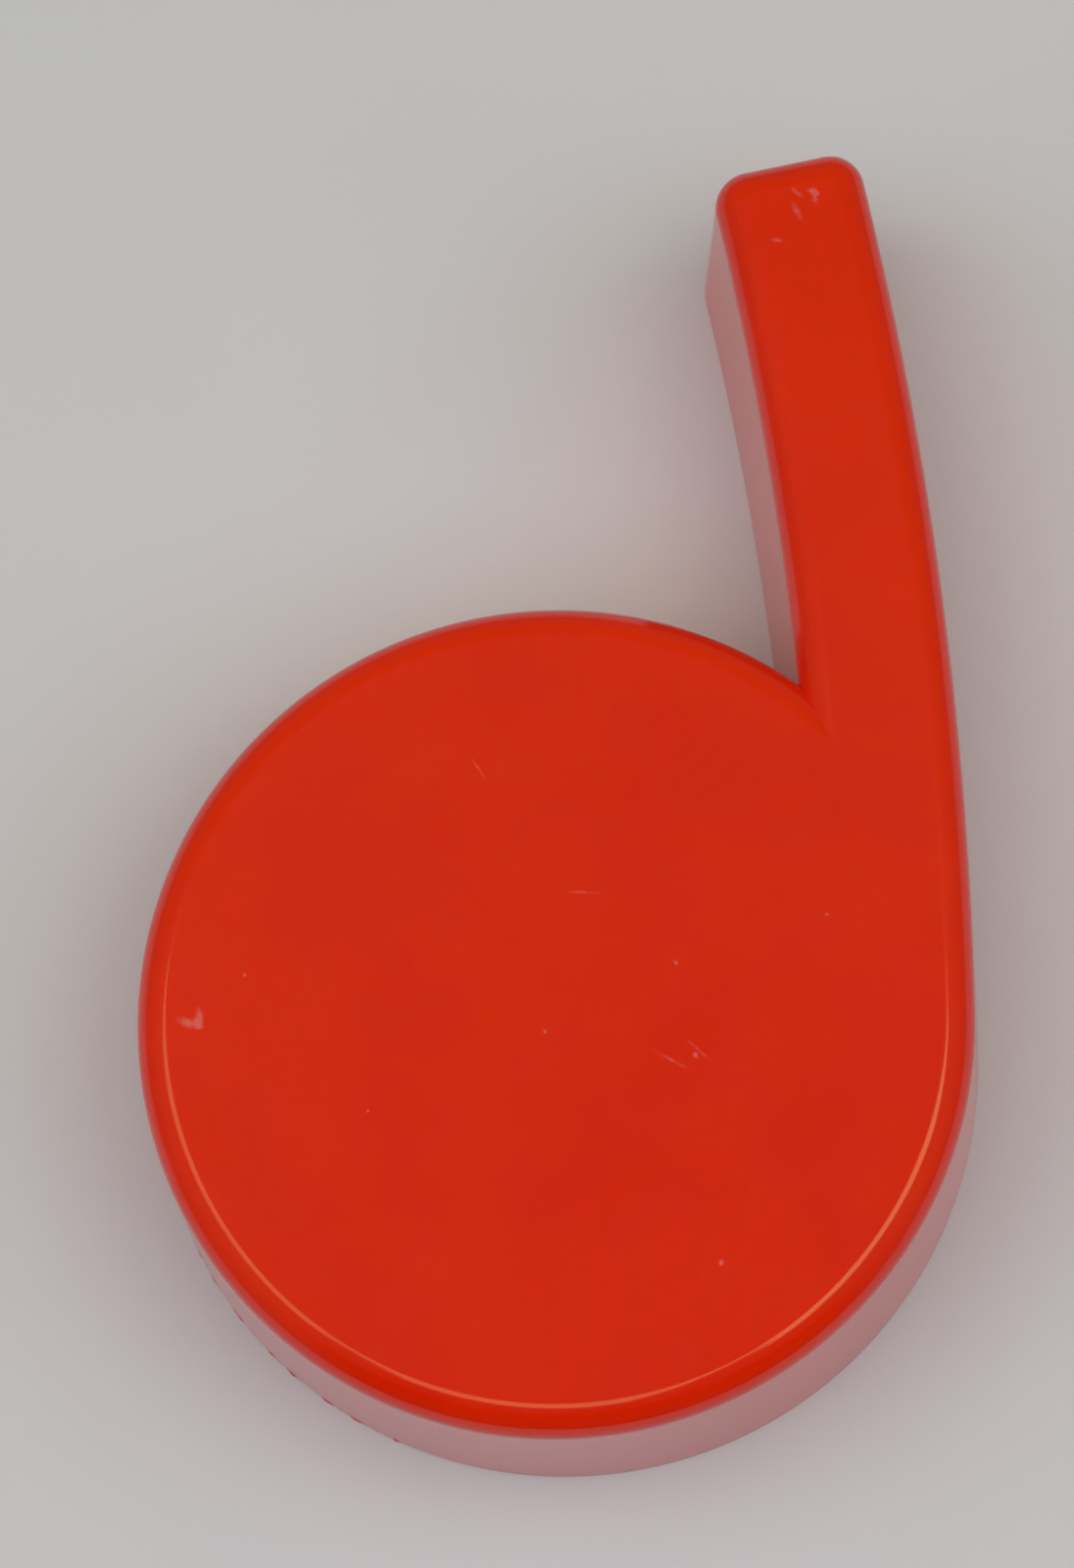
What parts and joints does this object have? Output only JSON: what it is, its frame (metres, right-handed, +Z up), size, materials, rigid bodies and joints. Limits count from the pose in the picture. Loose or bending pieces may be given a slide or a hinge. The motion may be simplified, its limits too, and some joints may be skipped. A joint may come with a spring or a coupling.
{
  "type": "solid french curve drawing block",
  "caption": "Hollow moulded curve block: a thick round disc with a curved stem leaving it at a tangent, closed underneath by an inset plate on screws.",
  "frame": {"origin": "centre of the outline's bounding rectangle, on the flat surface that the rim stands on", "axes": "+Z up, away from the surface; +Y along the length, from the disc towards the end of the stem; +X towards the stem's side"},
  "size_m": [0.0629, 0.0978, 0.024],
  "materials": {
    "shell": "moulded orange-red plastic, smooth and glossy, with a few light scuffs",
    "base_plate": "orange-red plastic with a fine matt texture",
    "screws": "zinc-plated steel"
  },
  "bodies": {
    "root": {"shell": "shell", "base_plate": "base_plate", "base_screws": "screws"}
  },
  "joints": []
}
